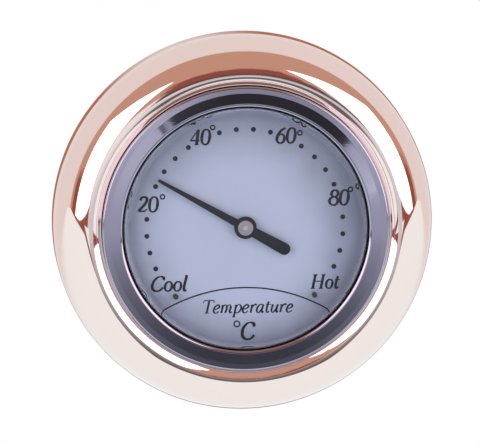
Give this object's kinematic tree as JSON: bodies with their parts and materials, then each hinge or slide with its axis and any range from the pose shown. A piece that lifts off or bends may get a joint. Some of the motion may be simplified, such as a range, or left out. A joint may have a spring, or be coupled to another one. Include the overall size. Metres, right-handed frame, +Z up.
{
  "type": "dial thermometer",
  "caption": "Round bimetal dial thermometer with plated trim ring, chrome bezel, domed lens, Celsius scale, turning pointer and threaded probe stem.",
  "frame": {"origin": "on the gauge's axis, in the plane of the vessel wall where the trim ring's foot and the seal washer seat", "axes": "+Y along the stem, away from the viewer, so the dial faces -Y; +Z is up the dial's lettering; +X is to the viewer's right"},
  "size_m": [0.076, 0.0761, 0.076],
  "materials": {
    "rose_gold_plate": "polished rose-gold plate on die-cast metal",
    "chrome_plate": "mirror polished",
    "clear_lens": "clear, polished",
    "gasket_rubber": "matte",
    "seal_silicone": "matte translucent silicone",
    "satin_spacer": "satin",
    "silver_dial": "satin silver with printed scale",
    "stainless_steel": "turned or drawn, satin",
    "zinc_plate": "bright zinc plate",
    "turned_brass": "turned, fine lines",
    "bimetal_strip": "rolled strip",
    "black_pointer": "satin black"
  },
  "bodies": {
    "head": {"trim_ring": "rose_gold_plate", "bezel_ring": "chrome_plate", "lens": "clear_lens", "lens_gasket": "gasket_rubber", "seal_washer": "seal_silicone", "spacer_ring": "satin_spacer", "dial_plate": "silver_dial", "stop_pins": "stainless_steel", "case_cup": "stainless_steel", "stem_nipple": "stainless_steel", "stem_tube": "stainless_steel", "tip_plug": "stainless_steel", "case_lock_washer": "zinc_plate", "case_nut": "zinc_plate", "backing_plate": "zinc_plate", "ring_screws": "zinc_plate", "upper_bush": "turned_brass", "guide_bush": "turned_brass", "bimetal_coil": "bimetal_strip"},
    "pointer": {"pointer_shaft": "stainless_steel", "coil_hub": "turned_brass", "pointer_blade": "black_pointer", "pointer_bush": "turned_brass"}
  },
  "joints": [
    {"name": "pointer_turn", "type": "hinge", "parent": "head", "child": "pointer", "pos_m": [0, 0, 0], "axis": [0, 1, 0], "range_deg": [-71, 192], "stiffness_Nm_per_rad": 0.0015, "deforming": ["bimetal_coil"]}
  ]
}
